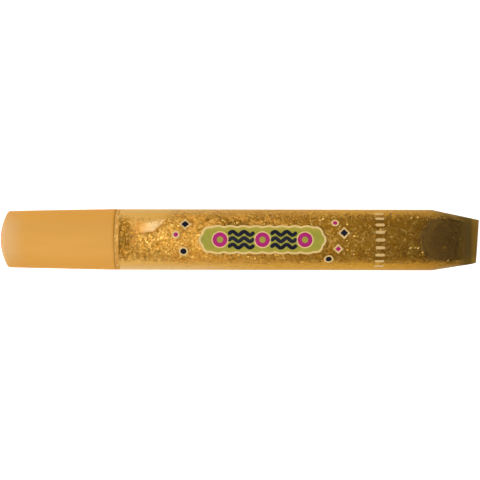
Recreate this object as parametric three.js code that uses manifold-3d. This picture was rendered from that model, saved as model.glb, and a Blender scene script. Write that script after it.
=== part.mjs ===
// Glitter glue tube: a clear round tube pressed flat and heat sealed at its tail, a nozzle pushed into its front end,
// the glitter gel inside, and a push-on cap over the nozzle. Millimetres, +Z up. The tube lies along X on the plane
// z = 0 with its cap towards -X, and the origin is under the middle of its length.
import * as THREE from "three";
import { mergeVertices } from "three/addons/utils/BufferGeometryUtils.js";
import Module from "manifold-3d";

const wasm = await Module();
wasm.setup();

// Fineness: every turned piece has this many flats, and one of them lies straight underneath
const SIDES = 28;
const ARC_STEPS = 4;

// Tube: the round part from its front edge to where the tail starts to narrow
const TUBE_DIAMETER = 15;
const TUBE_WALL = 0.9;
const TUBE_LENGTH = 76.2;

// Tail: narrows to its end, pressed between two slanting flats into a level seal strip, and trimmed out of square
const TAIL_LENGTH = 11.6;
const TAIL_END_WIDTH = 10.6;
const FLAT_LEAD = 2; // how far the flats reach back over the round part
const SEAL_LENGTH = 1.7;
const SEAL_THICKNESS = 1.6;
const SEAL_TRIM_SKEW = 0.7; // how much shorter the trimmed end is at its -Y corner
const CAVITY_SLIT = 0.3; // height of the hollow where it closes ahead of the seal

// Nozzle: a plug inside the tube, a flange on the tube's front edge, a neck that holds the cap, and a spout
const PLUG_LENGTH = 4.5;
const PLUG_WALL = 0.8;
const PLUG_RING_COUNT = 2;
const PLUG_RING_WIDTH = 0.9;
const PLUG_RING_HEIGHT = 0.25;
const PLUG_CLEARANCE = 0.1;
const FLANGE_THICKNESS = 0.8;
const FLANGE_INSET = 0.15; // flange edge below the tube's outside
const NECK_LENGTH = 6.5;
const NECK_WALL = 0.9;
const SNAP_BEAD_HEIGHT = 0.4;
const SNAP_BEAD_WIDTH = 1.4;
const SNAP_BEAD_STATION = 4.2; // from the flange to the middle of the bead
const SHOULDER_LENGTH = 2.4;
const SPOUT_LENGTH = 15.5;
const SPOUT_BASE_DIAMETER = 3.6;
const SPOUT_TIP_DIAMETER = 2.2;
const SPOUT_BORE_BASE = 1.8;
const ORIFICE_DIAMETER = 1.2;

// Cap: a slightly tapered sleeve with a domed end, grip ribs inside its mouth, and a socket with a pin for the spout
const CAP_HEADROOM = 4.25; // from the spout's tip to the top of the cap's domed end
const CAP_INSET = 0.05; // cap's mouth below the tube's outside
const CAP_TAPER = 0.55; // how much smaller the cap's radius is at its end than at its mouth
const CAP_DOME_RISE = 1.9;
const CAP_EDGE_ROUND = 0.6;
const CAP_LIP_ROUND = 0.25;
const CAP_WALL = 0.9;
const CAP_SEAM = 0.35; // gap between the seated cap and the flange
const RIB_COUNT = 6;
const RIB_LENGTH = 6.5;
const RIB_WIDTH = 0.8;
const RIB_HEIGHT = 0.3; // from the inside of the cap's mouth
const RIB_SETBACK = 0.8; // from the cap's mouth to the ribs
const RIB_CLEARANCE = 0.15;
const SOCKET_OVERLAP = 1.6; // how far the socket reaches over the spout
const SOCKET_WALL = 0.7;
const SOCKET_CLEARANCE = 0.2;
const PIN_DIAMETER = 0.7;
const PIN_REACH = 1.5; // how far the pin enters the orifice

// Gel: fills the hollow of the tube and the nozzle, apart from one air pocket under the wall near the nozzle
const GEL_CLEARANCE = 0.15;
const POCKET_LENGTH = 7.4;
const POCKET_WIDTH = 6;
const POCKET_DEPTH = 1.3;
const POCKET_STATION = 7.4; // from the tube's front edge to the middle of the pocket
const POCKET_ROLL = 40; // degrees from the top of the tube towards +Y

// Stations along the axis, counted from the tube's front edge towards the tail
const tubeRadius = TUBE_DIAMETER / 2;
const tailEnd = TUBE_LENGTH + TAIL_LENGTH;
const sealStart = tailEnd - SEAL_LENGTH;
const flatStart = TUBE_LENGTH - FLAT_LEAD;
const neckStart = -FLANGE_THICKNESS;
const neckEnd = neckStart - NECK_LENGTH;
const shoulderEnd = neckEnd - SHOULDER_LENGTH;
const spoutTip = shoulderEnd - SPOUT_LENGTH;
const capMouth = -FLANGE_THICKNESS - CAP_SEAM;
const capApex = spoutTip - CAP_HEADROOM;
const pinTip = spoutTip + PIN_REACH;
const boreStart = shoulderEnd + NECK_WALL;
const neckBoreEnd = neckEnd + NECK_WALL;

// Sizes that several pieces share
const cavityRadius = tubeRadius - TUBE_WALL;
const plugRadius = cavityRadius - PLUG_CLEARANCE;
const plugBore = plugRadius - PLUG_RING_HEIGHT - PLUG_WALL;
const mouthRadius = tubeRadius - CAP_INSET;
const ribRadius = mouthRadius - CAP_WALL - RIB_HEIGHT;
const neckRadius = ribRadius - RIB_CLEARANCE - SNAP_BEAD_HEIGHT;
const neckBore = Math.min(neckRadius - NECK_WALL, plugBore);
const flatSlope = (tubeRadius - SEAL_THICKNESS / 2) / (sealStart - flatStart);
const flatStretch = Math.hypot(1, flatSlope); // height of an inset that is measured square to a flat
const cutReach = TUBE_DIAMETER; // how far every cutting solid reaches past the tube

// Linear change of a size between two stations
function between(along, start, end, startSize, endSize) {
  return startSize + ((endSize - startSize) * (along - start)) / (end - start);
}

// Height of a flat over the axis, for the outside or for a surface inset from it
function flatHeight(along, inset) {
  return between(along, flatStart, sealStart, tubeRadius, SEAL_THICKNESS / 2) - inset * flatStretch;
}

// Station where a surface inset from the flats has closed to the slit
function slitStation(inset) {
  return flatStart + (tubeRadius - inset * flatStretch - CAVITY_SLIT / 2) / flatSlope;
}

function tailRadius(along) {
  return between(along, TUBE_LENGTH, tailEnd, tubeRadius, TAIL_END_WIDTH / 2);
}

function spoutBore(along) {
  return between(along, boreStart, spoutTip, SPOUT_BORE_BASE / 2, ORIFICE_DIAMETER / 2);
}

// Closed solid from a geometry, with the vertices that its faces share merged
function solidOf(geometry) {
  geometry.deleteAttribute("normal");
  geometry.deleteAttribute("uv");
  const merged = mergeVertices(geometry);
  const vertProperties = merged.attributes.position.array;
  const triVerts = new Uint32Array(merged.index.array);
  return new wasm.Manifold(new wasm.Mesh({ numProp: 3, vertProperties, triVerts }));
}

// Solid turned about X from an outline of (radius, station) points, with its flats at those radii
function turned(outline) {
  const corner = 1 / Math.cos(Math.PI / SIDES);
  const points = outline.getPoints(ARC_STEPS).map((p) => new THREE.Vector2(p.x * corner, p.y));
  const lathe = new THREE.LatheGeometry(points, SIDES, Math.PI / SIDES);
  return solidOf(lathe.rotateZ(-Math.PI / 2));
}

// Solid extruded across the tube from an outline of (station, height) points
function across(outline) {
  const width = 2 * cutReach;
  const slab = new THREE.ExtrudeGeometry(outline, { depth: width, bevelEnabled: false });
  return slab.rotateX(Math.PI / 2).translate(0, width / 2, 0);
}

// What the two flats press away, above and below the axis, from a surface inset from the outside
function pressedAway(inset) {
  const last = inset > 0 ? slitStation(inset) : sealStart;
  const first = flatStart - FLAT_LEAD;
  const outline = new THREE.Shape();
  outline.moveTo(first, flatHeight(first, inset));
  outline.lineTo(last, flatHeight(last, inset));
  outline.lineTo(tailEnd + cutReach, flatHeight(last, inset));
  outline.lineTo(tailEnd + cutReach, cutReach);
  outline.lineTo(first, cutReach);
  const above = across(outline);
  const below = above.clone().rotateX(Math.PI);
  return solidOf(above).add(solidOf(below));
}

// What the slanting trim cut takes off the end of the seal
function trimmedAway() {
  const halfWidth = TAIL_END_WIDTH / 2;
  const outline = new THREE.Shape();
  outline.moveTo(between(-cutReach, halfWidth, -halfWidth, tailEnd, tailEnd - SEAL_TRIM_SKEW), -cutReach);
  outline.lineTo(tailEnd + cutReach, -cutReach);
  outline.lineTo(tailEnd + cutReach, cutReach);
  outline.lineTo(between(cutReach, halfWidth, -halfWidth, tailEnd, tailEnd - SEAL_TRIM_SKEW), cutReach);
  const height = 2 * cutReach;
  const slab = new THREE.ExtrudeGeometry(outline, { depth: height, bevelEnabled: false });
  return solidOf(slab.translate(0, 0, -height / 2));
}

function tubeShell() {
  const outside = new THREE.Path();
  outside.moveTo(0, 0);
  outside.lineTo(tubeRadius, 0);
  outside.lineTo(tubeRadius, TUBE_LENGTH);
  outside.lineTo(tailRadius(tailEnd), tailEnd);
  outside.lineTo(0, tailEnd);
  const slit = slitStation(TUBE_WALL);
  const hollow = new THREE.Path();
  hollow.moveTo(0, -cutReach);
  hollow.lineTo(cavityRadius, -cutReach);
  hollow.lineTo(cavityRadius, TUBE_LENGTH);
  hollow.lineTo(tailRadius(slit) - TUBE_WALL, slit);
  hollow.lineTo(0, slit);
  const cavity = turned(hollow).subtract(pressedAway(TUBE_WALL));
  return turned(outside).subtract(pressedAway(0)).subtract(trimmedAway()).subtract(cavity);
}

// Outline of the plug's outside, from the flange to its open end, with rings that seal on the tube's wall
function plugRings(outline) {
  const wall = plugRadius - PLUG_RING_HEIGHT;
  const pitch = PLUG_LENGTH / (PLUG_RING_COUNT + 1);
  outline.lineTo(wall, 0);
  for (let ring = 1; ring <= PLUG_RING_COUNT; ring += 1) {
    const middle = ring * pitch;
    outline.lineTo(wall, middle - PLUG_RING_WIDTH / 2);
    outline.quadraticCurveTo(plugRadius + PLUG_RING_HEIGHT, middle, wall, middle + PLUG_RING_WIDTH / 2);
  }
  outline.lineTo(wall, PLUG_LENGTH);
}

function nozzle() {
  const bead = neckStart - SNAP_BEAD_STATION;
  const beadPeak = neckRadius + 2 * SNAP_BEAD_HEIGHT; // control point of a curve that rises half as far
  const flangeRadius = tubeRadius - FLANGE_INSET;
  const outline = new THREE.Path();
  outline.moveTo(ORIFICE_DIAMETER / 2, spoutTip);
  outline.lineTo(SPOUT_TIP_DIAMETER / 2, spoutTip);
  outline.lineTo(SPOUT_BASE_DIAMETER / 2, shoulderEnd);
  outline.lineTo(neckRadius, neckEnd);
  outline.lineTo(neckRadius, bead - SNAP_BEAD_WIDTH / 2);
  outline.quadraticCurveTo(beadPeak, bead, neckRadius, bead + SNAP_BEAD_WIDTH / 2);
  outline.lineTo(neckRadius, neckStart);
  outline.lineTo(flangeRadius, neckStart);
  outline.lineTo(flangeRadius, 0);
  plugRings(outline);
  outline.lineTo(plugBore, PLUG_LENGTH);
  outline.lineTo(plugBore, 0);
  outline.lineTo(neckBore, 0);
  outline.lineTo(neckBore, neckBoreEnd);
  outline.lineTo(SPOUT_BORE_BASE / 2, boreStart);
  outline.closePath();
  return turned(outline);
}

// One grip rib inside the cap's mouth, sunk half a wall into the sleeve
function capRib(index) {
  const root = mouthRadius - CAP_WALL / 2;
  const rib = new THREE.BoxGeometry(RIB_LENGTH, RIB_WIDTH, root - ribRadius);
  rib.translate(capMouth - RIB_SETBACK - RIB_LENGTH / 2, 0, (root + ribRadius) / 2);
  return solidOf(rib.rotateX((2 * Math.PI * index) / RIB_COUNT));
}

function capShell() {
  const endRadius = mouthRadius - CAP_TAPER;
  const edge = capApex + CAP_DOME_RISE;
  const domeRadius = (endRadius ** 2 + CAP_DOME_RISE ** 2) / (2 * CAP_DOME_RISE);
  const domeCentre = capApex + domeRadius;
  const ceilingRadius = domeRadius - CAP_WALL;
  const down = -Math.PI / 2;
  const sideRadius = (along) => between(along, edge, capMouth, endRadius, mouthRadius);
  const innerEndRadius = endRadius - CAP_WALL;
  const ceilingEdge = down + Math.asin(innerEndRadius / ceilingRadius);
  const rim = spoutTip + SOCKET_OVERLAP;
  const spoutAtRim = between(rim, shoulderEnd, spoutTip, SPOUT_BASE_DIAMETER, SPOUT_TIP_DIAMETER) / 2;
  const socketInner = spoutAtRim + SOCKET_CLEARANCE;
  const socketOuter = socketInner + SOCKET_WALL;
  const socketFloor = spoutTip - SOCKET_CLEARANCE;
  const outline = new THREE.Path();
  outline.absarc(0, domeCentre, domeRadius, down, down + Math.asin((endRadius - CAP_EDGE_ROUND) / domeRadius));
  outline.quadraticCurveTo(endRadius, edge, sideRadius(edge + CAP_EDGE_ROUND), edge + CAP_EDGE_ROUND);
  outline.lineTo(sideRadius(capMouth - CAP_LIP_ROUND), capMouth - CAP_LIP_ROUND);
  outline.quadraticCurveTo(mouthRadius, capMouth, mouthRadius - CAP_LIP_ROUND, capMouth);
  outline.lineTo(mouthRadius - CAP_WALL, capMouth);
  outline.absarc(
    0,
    domeCentre,
    ceilingRadius,
    ceilingEdge,
    down + Math.asin(socketOuter / ceilingRadius),
    true,
  );
  outline.lineTo(socketOuter, rim);
  outline.lineTo(socketInner, rim);
  outline.lineTo(socketInner, socketFloor);
  outline.lineTo(PIN_DIAMETER / 2, socketFloor);
  outline.lineTo(PIN_DIAMETER / 2, pinTip - PIN_DIAMETER / 2);
  outline.lineTo(0, pinTip);
  let cap = turned(outline);
  for (let index = 0; index < RIB_COUNT; index += 1) cap = cap.add(capRib(index));
  return cap;
}

// Ellipsoid of air that sits in the gel's surface
function airPocket() {
  const roll = THREE.MathUtils.degToRad(POCKET_ROLL);
  const pocket = new THREE.SphereGeometry(1, 24, 12);
  pocket.scale(POCKET_LENGTH / 2, POCKET_WIDTH / 2, POCKET_DEPTH);
  pocket.translate(POCKET_STATION, 0, cavityRadius - GEL_CLEARANCE);
  return solidOf(pocket.rotateX(-roll));
}

function gelFill() {
  const inset = TUBE_WALL + GEL_CLEARANCE;
  const gap = GEL_CLEARANCE;
  const front = pinTip + 2 * gap;
  const end = slitStation(inset);
  const outline = new THREE.Path();
  outline.moveTo(0, front);
  outline.lineTo(spoutBore(front) - gap, front);
  outline.lineTo(spoutBore(boreStart) - gap, boreStart);
  outline.lineTo(neckBore - gap, neckBoreEnd + gap);
  outline.lineTo(neckBore - gap, gap);
  outline.lineTo(plugBore - gap, gap);
  outline.lineTo(plugBore - gap, PLUG_LENGTH + gap);
  outline.lineTo(tubeRadius - inset, PLUG_LENGTH + gap);
  outline.lineTo(tubeRadius - inset, TUBE_LENGTH);
  outline.lineTo(tailRadius(end) - inset, end);
  outline.lineTo(0, end);
  return turned(outline).subtract(pressedAway(inset)).subtract(airPocket());
}

// Named mesh of a solid in its own material
function mesh(name, solid, look) {
  const { vertProperties, triVerts } = solid.getMesh();
  const geometry = new THREE.BufferGeometry();
  geometry.setAttribute("position", new THREE.BufferAttribute(vertProperties, 3));
  geometry.setIndex(new THREE.BufferAttribute(triVerts, 1));
  geometry.computeVertexNormals();
  const made = new THREE.Mesh(geometry, new THREE.MeshStandardMaterial({ metalness: 0, ...look }));
  made.name = name;
  return made;
}

const clearWall = { color: 0xf0cf94, roughness: 0.12, transparent: true, opacity: 0.35 };
const naturalPlastic = { color: 0xefe6d2, roughness: 0.4 };
const goldGel = { color: 0xae7e35, roughness: 0.3 };
const goldPlastic = { color: 0xdfa552, roughness: 0.38 };

const lyingTube = new THREE.Group();
lyingTube.position.set(-(capApex + tailEnd) / 2, 0, tubeRadius);
lyingTube.add(mesh("tube_shell", tubeShell(), clearWall));
lyingTube.add(mesh("nozzle", nozzle(), naturalPlastic));
lyingTube.add(mesh("glitter_gel", gelFill(), goldGel));
lyingTube.add(mesh("cap", capShell(), goldPlastic));

const glitterGlueTube = new THREE.Group();
glitterGlueTube.add(lyingTube);

export default glitterGlueTube;
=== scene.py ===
import math
import random

import bmesh
import bpy
from bpy.props import FloatProperty, FloatVectorProperty, IntProperty, PointerProperty
from mathutils import Matrix, Vector, noise


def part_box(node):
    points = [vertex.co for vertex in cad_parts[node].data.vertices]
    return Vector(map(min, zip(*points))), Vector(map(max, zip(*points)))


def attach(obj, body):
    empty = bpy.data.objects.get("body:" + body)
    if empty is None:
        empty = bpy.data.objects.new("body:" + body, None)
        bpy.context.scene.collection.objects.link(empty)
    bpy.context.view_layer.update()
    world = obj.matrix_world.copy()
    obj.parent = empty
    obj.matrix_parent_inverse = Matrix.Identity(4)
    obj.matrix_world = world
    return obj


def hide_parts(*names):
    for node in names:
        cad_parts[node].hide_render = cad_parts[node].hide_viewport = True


bl_info = {
    "name": "Glitter glue tube",
    "version": (1, 0, 0),
    "blender": (4, 5, 0),
    "location": "3D View > Sidebar > Glue tube",
    "description": "Makes a capped tube of gold glitter glue with its gel, flakes, nozzle and print",
    "category": "Mesh",
}

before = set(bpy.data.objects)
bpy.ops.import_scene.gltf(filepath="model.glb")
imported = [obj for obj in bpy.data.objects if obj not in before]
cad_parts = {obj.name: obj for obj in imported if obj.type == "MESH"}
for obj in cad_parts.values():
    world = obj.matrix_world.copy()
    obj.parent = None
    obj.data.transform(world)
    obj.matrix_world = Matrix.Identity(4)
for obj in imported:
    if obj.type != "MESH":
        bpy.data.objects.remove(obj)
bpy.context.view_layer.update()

MM = 0.001
SEGMENTS = 144  # points round every turned piece
PITCH = 2 * MM  # longest stretch of a turned piece without a ring of points
GEL_PITCH = 0.5 * MM  # the same on the gel, for its air pocket
TAIL_PITCH = 0.4 * MM  # the same where the tail is pressed
ROUND_STEPS = 5  # stretches in a rounded corner
QUARTER = [math.pi / 2 * step / ROUND_STEPS for step in range(ROUND_STEPS + 1)]  # turns of a rounded edge
SHARP = math.radians(40)  # edges with a stronger bend stay crisp

TUBE_LOW, TUBE_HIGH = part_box("tube_shell")
NOZZLE_LOW, NOZZLE_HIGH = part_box("nozzle")
CAP_LOW, CAP_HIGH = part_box("cap")
AXIS_HEIGHT = (TUBE_LOW.z + TUBE_HIGH.z) / 2
TUBE_RADIUS = (TUBE_HIGH.z - TUBE_LOW.z) / 2
CAP_RADIUS = (CAP_HIGH.z - CAP_LOW.z) / 2
FRONT = TUBE_LOW.x  # front edge of the tube's wall
TAIL_END = TUBE_HIGH.x

WHITE = (1.0, 1.0, 1.0)
BLACK = (0.0, 0.0, 0.0)


def length(name, description, millimetres):
    """Property for a length, with its default in millimetres."""
    return FloatProperty(
        name=name, description=description, default=millimetres * MM, unit="LENGTH", precision=5
    )


def angle(name, description, degrees):
    """Property for an angle, with its default in degrees."""
    return FloatProperty(name=name, description=description, default=math.radians(degrees), subtype="ANGLE")


def share(name, description, default):
    """Property for a share between nothing and all."""
    return FloatProperty(
        name=name, description=description, default=default, min=0, max=1, subtype="FACTOR"
    )


def count(name, description, default, least=1):
    """Property for a number of like things."""
    return IntProperty(name=name, description=description, default=default, min=least)


def colour(name, description, default):
    """Property for a colour."""
    return FloatVectorProperty(
        name=name, description=description, default=default, min=0, max=1, subtype="COLOR"
    )


class TubeSettings(bpy.types.PropertyGroup):
    """Clear wall with its pressed and sealed tail."""

    wall: length("Wall", "Thickness of the clear wall", 0.9)
    ink_room: length("Ink room", "How far the wall stays inside the tube's box for the ink", 0.035)
    edge_round: length("Edge round", "Rounding of the wall's edges at its front and its trimmed end", 0.06)
    tail: length("Tail", "Length of the tail, from where it starts to narrow", 11.6)
    tail_width: length("Tail width", "Width of the tail at its end", 10.6)
    flat_lead: length("Flat lead", "How far the pressed flats reach back over the round wall", 2.0)
    seal: length("Seal", "Length of the level seal strip", 1.7)
    seal_height: length("Seal thickness", "Thickness of the seal strip", 1.6)
    trim_skew: length("Trim skew", "How much shorter the trimmed end is at one corner", 0.7)
    drift: length("Drift", "How far the tail's end lies to one side", 0.3)
    fold: length("Fold", "Softness of the fold round each flat", 0.7)
    slit: length("Slit", "Height of the hollow where it closes ahead of the seal", 0.3)
    dry_end: length("Dry end", "Where along the tube the gel starts to wet the wall", -17)
    tint: colour("Tint", "Colour of the hazy seal", (0.15, 0.080, 0.011))
    fold_tint: colour("Fold tint", "Colour of the pressed wall ahead of the seal", (0.112, 0.066, 0.0165))


class NozzleSettings(bpy.types.PropertyGroup):
    """Plug, flange, neck and spout."""

    plug_wall: length("Plug wall", "Thickness of the plug's wall", 0.8)
    plug_clearance: length("Plug clearance", "Gap between the plug's rings and the tube's wall", 0.1)
    ring_height: length("Ring height", "Height of the plug's sealing rings", 0.25)
    ring_width: length("Ring width", "Width of the plug's sealing rings", 0.9)
    flange: length("Flange", "Thickness of the flange", 0.8)
    flange_inset: length("Flange inset", "How far the flange's edge lies inside the tube's outside", 0.03)
    flange_lead: length("Flange lead", "How far the flange's rim stands out towards the cap's lip", 0.22)
    neck: length("Neck", "Length of the neck", 6.5)
    neck_radius: length("Neck radius", "Radius of the neck", 5.7)
    neck_wall: length("Neck wall", "Thickness of the neck's wall", 0.9)
    bead_height: length("Bead height", "Height of the bead that holds the cap", 0.4)
    bead_width: length("Bead width", "Width of the bead that holds the cap", 1.4)
    bead_station: length("Bead station", "From the flange to the middle of the bead", 4.2)
    shoulder: length("Shoulder", "Length of the cone between neck and spout", 2.4)
    spout_base: length("Spout base", "Radius of the spout at the shoulder", 1.8)
    spout_tip: length("Spout tip", "Radius of the spout at its tip", 1.1)
    bore_base: length("Bore base", "Radius of the spout's bore at the shoulder", 0.9)
    orifice: length("Orifice", "Radius of the orifice", 0.6)
    tint: colour("Tint", "Colour of the nozzle's plastic", (0.80, 0.66, 0.42))
    flange_tint: colour("Flange tint", "Colour of the flange, lit through by the gel", (0.54, 0.262, 0.048))


class CapSettings(bpy.types.PropertyGroup):
    """Tapered push-on cap."""

    swell: length("Swell", "How far the outside lies over the cap's box, out to the tube's", 0.045)
    taper: length("Taper", "How much smaller the radius is at the cap's end", 0.52)
    dome_rise: length("Dome rise", "Rise of the domed end", 1.9)
    edge_round: length("Edge round", "Rounding of the dome's edge", 0.35)
    lip_round: length("Lip round", "Rounding of the mouth's lip", 0.12)
    lip_reach: length("Lip reach", "How far the lip reaches towards the flange to close the seam", 0.04)
    wall: length("Wall", "Thickness of the cap's wall", 0.9)
    ribs: count("Ribs", "Number of grip ribs inside the mouth", 6)
    rib_length: length("Rib length", "Length of the ribs", 6.5)
    rib_width: length("Rib width", "Width of the ribs", 0.8)
    rib_height: length("Rib height", "Height of the ribs at the mouth", 0.3)
    rib_setback: length("Rib setback", "From the mouth to the ribs", 0.8)
    socket_overlap: length("Socket overlap", "How far the socket reaches over the spout", 1.6)
    socket_wall: length("Socket wall", "Thickness of the socket's wall", 0.7)
    socket_gap: length("Socket gap", "Gap between the socket and the spout", 0.2)
    pin_radius: length("Pin radius", "Radius of the pin that closes the orifice", 0.35)
    pin_reach: length("Pin reach", "How far the pin enters the orifice", 1.5)
    tint: colour("Tint", "Colour of the cap's plastic", (0.625, 0.312, 0.067))


class GelSettings(bpy.types.PropertyGroup):
    """Gel with its air pocket, and the glitter flakes in it."""

    gap: length("Gap", "Gap between the gel and what holds it", 0.15)
    clear_depth: length("Clear depth", "Depth of the clear outer gel, in which flakes show one by one", 0.2)
    shrink: length("Shrink", "How far the gel draws back from the wall behind the nozzle", 0.55)
    shrink_length: length("Shrink length", "Stretch behind the nozzle over which the gel draws back", 10.0)
    pocket_length: length("Pocket length", "Length of the air pocket", 7.4)
    pocket_width: length("Pocket width", "Width of the air pocket", 7.0)
    pocket_depth: length("Pocket depth", "Depth of the air pocket", 1.3)
    pocket_station: length("Pocket station", "From the tube's front edge to the middle of the pocket", 7.4)
    pocket_roll: angle("Pocket roll", "Turn of the pocket from the top of the tube", 43)
    pocket_slant: share("Pocket slant", "How far the pocket leans across the tube along its length", 0.4)
    pocket_ragged: share("Pocket ragged", "How ragged the pocket's edge is", 0.3)
    # painted shade: the dark of the fold starts this far ahead of the flats and bows with the round wall
    fold_lead: length("Fold lead", "How far the tail's dark fold starts ahead of the flats", 2.7)
    fold_bow: share("Fold bow", "How far the dark fold's start bows with the round wall", 0.8)
    bold_flakes: count("Bold flakes", "Number of large flakes", 4200)
    fine_flakes: count("Fine flakes", "Number of small flakes", 9000)
    flake_small: length("Smallest flake", "Radius of the smallest flakes", 0.11)
    flake_middle: length("Middle flake", "Radius between the small and the large flakes", 0.2)
    flake_large: length("Largest flake", "Radius of the largest flakes", 0.34)
    flake_thickness: length("Flake thickness", "Thickness of a flake", 0.02)
    flake_tilt: angle("Flake tilt", "Largest tilt of a flake", 30)
    seed: IntProperty(name="Seed", description="Seed of the flakes' places", default=11)


class PrintSettings(bpy.types.PropertyGroup):
    """Inks and sizes of the printed design."""

    ink: length("Ink", "Thickness of one layer of ink", 0.0088)
    cream: colour("Cream", "Colour of the outlines", (0.72, 0.50, 0.20))
    olive: colour("Olive", "Colour of the panel", (0.32, 0.29, 0.034))
    margin: colour("Margin", "Colour of the panel towards its outline", (0.44, 0.33, 0.055))
    magenta: colour("Magenta", "Colour of the rings", (0.38, 0.012, 0.135))
    navy: colour("Navy", "Colour of the waves", (0.005, 0.006, 0.015))
    gold: colour("Gold", "Colour of the tick marks", (0.64, 0.42, 0.16))
    middle: length("Middle", "Where the middle of the panel lies along the tube", 5.4)
    half_length: length("Half length", "Half the length of the panel", 15.0)
    half_height: length("Half height", "Half the height of the panel", 3.3)
    border: length("Border", "Width of the panel's outline", 0.5)
    scallop: length("Scallop", "Rise of the lobes round the panel", 0.35)
    lobes: count("Lobes", "Number of lobes round the panel", 22, 3)
    ring_radius: length("Ring radius", "Outer radius of the rings in the panel", 1.8)
    ring_rim: length("Ring rim", "Width of the cream rim round a ring", 0.25)
    ring_hole: share("Ring hole", "Size of the hole in a ring", 0.42)
    ring_pitch: length("Ring pitch", "From ring to ring", 10.2)
    wave_height: length("Wave height", "Half the height of the waves between the rings", 0.42)
    wave_width: length("Wave width", "Width of the waves' line", 0.92)
    wave_pitch: length("Wave pitch", "From wave to wave", 1.55)
    wave_clearance: length("Wave clearance", "From a ring to the waves beside it", 0.5)
    dot_rim: length("Dot rim", "Width of the cream rim round a dot", 0.4)
    diamond_rim: length("Diamond rim", "From a diamond's corner to the corner of its cream rim", 0.6)
    tick_station: length("Tick station", "Where the row of ticks lies along the tube", 33.7)
    tick_length: length("Tick length", "Length of a tick between its round ends", 1.5)
    tick_width: length("Tick width", "Width of a tick", 0.78)
    tick_span: angle("Tick span", "Angle that the row of ticks covers round the wall", 116)
    ticks: count("Ticks", "Number of ticks in the row", 9, 2)


class StageSettings(bpy.types.PropertyGroup):
    """Floor, light and camera."""

    distance: length("Distance", "From the camera to the tube's axis", 300)
    width: length("Width", "Width of the picture at the tube's axis", 118.03)
    aside: length("Aside", "How far the camera stands to one side of the tube's axis", 0.08)
    turn: angle("Turn", "Turn of the camera about its line of sight", 0.13)
    floor: length("Floor", "Side of the floor", 40000)
    sky: FloatProperty(name="Sky", description="Strength of the sky at the horizon", default=0.45)
    zenith: FloatProperty(name="Zenith", description="Strength of the sky overhead", default=0.25)
    lamp: FloatProperty(name="Lamp", description="Power of the soft lamp", default=1.6, unit="POWER")
    lamp_size: length("Lamp size", "Side of the soft lamp", 350)
    lamp_reach: length("Lamp reach", "How far the lamp stands towards the cap's side", 120)
    lamp_height: length("Lamp height", "Height of the lamp over the floor", 380)


class GlueTubeSettings(bpy.types.PropertyGroup):
    """All settings of the glue tube."""

    tube: PointerProperty(type=TubeSettings)
    nozzle: PointerProperty(type=NozzleSettings)
    cap: PointerProperty(type=CapSettings)
    gel: PointerProperty(type=GelSettings)
    print: PointerProperty(type=PrintSettings)
    stage: PointerProperty(type=StageSettings)


class Reading:
    """What a shader reads at a point; arithmetic on it adds Math nodes."""

    def __init__(self, look, socket):
        self.look = look
        self.socket = socket

    def math(self, operation, first, second=0.0):
        """Reading worked out by a Math node."""
        return self.look.node("Math", {"operation": operation}, {0: first, 1: second})

    def __add__(self, other):
        return self.math("ADD", self, other)

    __radd__ = __add__

    def __sub__(self, other):
        return self.math("SUBTRACT", self, other)

    def __rsub__(self, other):
        return self.math("SUBTRACT", other, self)

    def __mul__(self, other):
        return self.math("MULTIPLY", self, other)

    __rmul__ = __mul__

    def __truediv__(self, other):
        return self.math("DIVIDE", self, other)

    def __abs__(self):
        return self.math("ABSOLUTE", self)

    def larger(self, other):
        """Larger of this and another reading."""
        return self.math("MAXIMUM", self, other)

    def above(self, edge, soft):
        """Mask that rises from 0 to 1 over a soft edge."""
        ends = {"From Min": edge - soft, "From Max": edge + soft}
        return self.look.node(
            "MapRange", {"interpolation_type": "SMOOTHSTEP"}, {"Value": self, **ends}, "Result"
        )


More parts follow.
